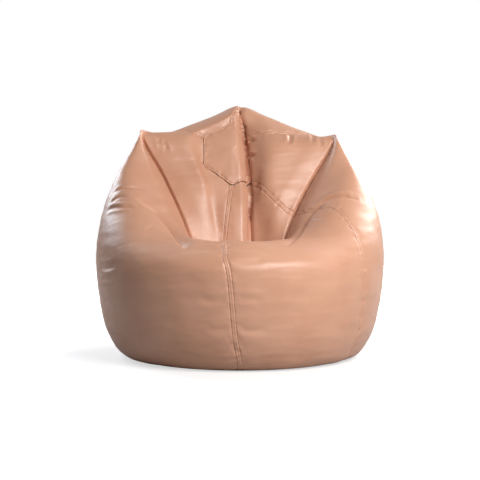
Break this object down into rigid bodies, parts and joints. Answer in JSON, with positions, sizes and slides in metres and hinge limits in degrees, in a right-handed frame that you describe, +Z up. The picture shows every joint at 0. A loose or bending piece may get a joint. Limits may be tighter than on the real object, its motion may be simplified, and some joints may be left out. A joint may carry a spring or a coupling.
{
  "type": "bean bag chair",
  "caption": "Bean bag chair with a hollowed seat and high backrest: a gored leatherette cover with a hexagonal top cap, over a zipped liner full of beads.",
  "frame": {"origin": "on the floor, under the middle of the bag", "axes": "+Z up; the seat faces -Y; +X is to the right of someone looking at the seat"},
  "size_m": [0.8616, 0.867, 0.7537],
  "materials": {
    "leatherette": "satin",
    "thread": "satin",
    "zip_tape": "matte",
    "zip_coil": "satin",
    "zip_metal": "satin",
    "liner_cloth": "matte",
    "beads": "matte"
  },
  "bodies": {
    "bag": {"front_right_gore": "leatherette", "right_gore": "leatherette", "back_right_gore": "leatherette", "back_left_gore": "leatherette", "left_gore": "leatherette", "top_cap": "leatherette", "base_panel": "leatherette", "front_seam_stitching_left": "thread", "front_seam_stitching_right": "thread", "right_seam_stitching_left": "thread", "right_seam_stitching_right": "thread", "back_right_seam_stitching_left": "thread", "back_right_seam_stitching_right": "thread", "back_seam_stitching_left": "thread", "back_seam_stitching_right": "thread", "back_left_seam_stitching_left": "thread", "back_left_seam_stitching_right": "thread", "cap_seam_stitching": "thread", "zip_tape_left": "zip_tape", "zip_coil_left": "zip_coil", "zip_tape_right": "zip_tape", "zip_coil_right": "zip_coil", "zip_bottom_stop": "zip_metal", "zip_top_stop": "zip_metal", "liner_zip_tape_left": "zip_tape", "liner_zip_coil_left": "zip_coil", "liner_zip_tape_right": "zip_tape", "liner_zip_coil_right": "zip_coil", "liner_zip_bottom_stop": "zip_metal", "liner_zip_top_stop": "zip_metal", "liner_bag": "liner_cloth", "bead_filling": "beads"},
    "zip_slider": {"zip_slider": "zip_metal"},
    "zip_pull": {"zip_pull": "zip_metal"},
    "liner_zip_slider": {"liner_zip_slider": "zip_metal"}
  },
  "joints": [
    {"name": "zip_slide", "type": "slide", "parent": "bag", "child": "zip_slider", "axis": [0, 0, 1], "range_m": [0, 0.237]},
    {"name": "pull_flip", "type": "hinge", "parent": "zip_slider", "child": "zip_pull", "pos_m": [0, 0.4314, 0.1565], "axis": [1, 0, 0], "range_deg": [0, 170]},
    {"name": "liner_zip_slide", "type": "slide", "parent": "bag", "child": "liner_zip_slider", "axis": [0, 0, 1], "range_m": [0, 0.237]}
  ]
}
